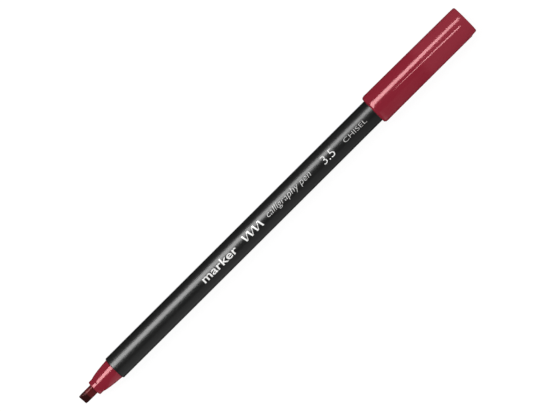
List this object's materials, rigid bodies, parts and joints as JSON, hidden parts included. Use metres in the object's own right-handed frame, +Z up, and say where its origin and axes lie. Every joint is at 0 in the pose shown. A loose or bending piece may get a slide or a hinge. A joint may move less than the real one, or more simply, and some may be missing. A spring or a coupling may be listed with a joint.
{
  "type": "calligraphy marker",
  "caption": "Slim round chisel-nib marker lying on its side, with its round cap pushed onto the tail of a plain barrel.",
  "frame": {"origin": "on the surface that the marker lies on, under the middle of its length and under its axis", "axes": "+X along the marker from the nib to the cap's closed end; +Z up, away from the surface; +Y to the side that the tops of the barrel's letters point to"},
  "size_m": [0.1636, 0.0104, 0.0104],
  "materials": {
    "barrel_black": "smooth moulded, softly glossy",
    "wine_plastic": "smooth moulded, glossy",
    "nib_felt": "bonded fibre soaked in ink",
    "ink_fibre": "wadding soaked in ink",
    "clear_film": "thin clear film",
    "natural_plastic": "translucent natural polyethylene",
    "white_ink": "printed white ink"
  },
  "bodies": {
    "pen": {"barrel": "barrel_black", "tail_plug": "wine_plastic", "nib_holder": "wine_plastic", "nib": "nib_felt", "ink_fibre": "ink_fibre", "reservoir_film": "clear_film", "breather_tube": "natural_plastic"},
    "cap_liner": {"cap_liner": "natural_plastic"},
    "cap": {"cap_shell": "wine_plastic"}
  },
  "joints": [
    {"name": "cap_pull", "type": "slide", "parent": "pen", "child": "cap_liner", "axis": [1, 0, 0], "range_m": [0, 0.03]},
    {"name": "cap_turn", "type": "hinge", "parent": "cap_liner", "child": "cap", "pos_m": [0.0622, 0, 0.0052], "axis": [1, 0, 0], "continuous": true}
  ]
}
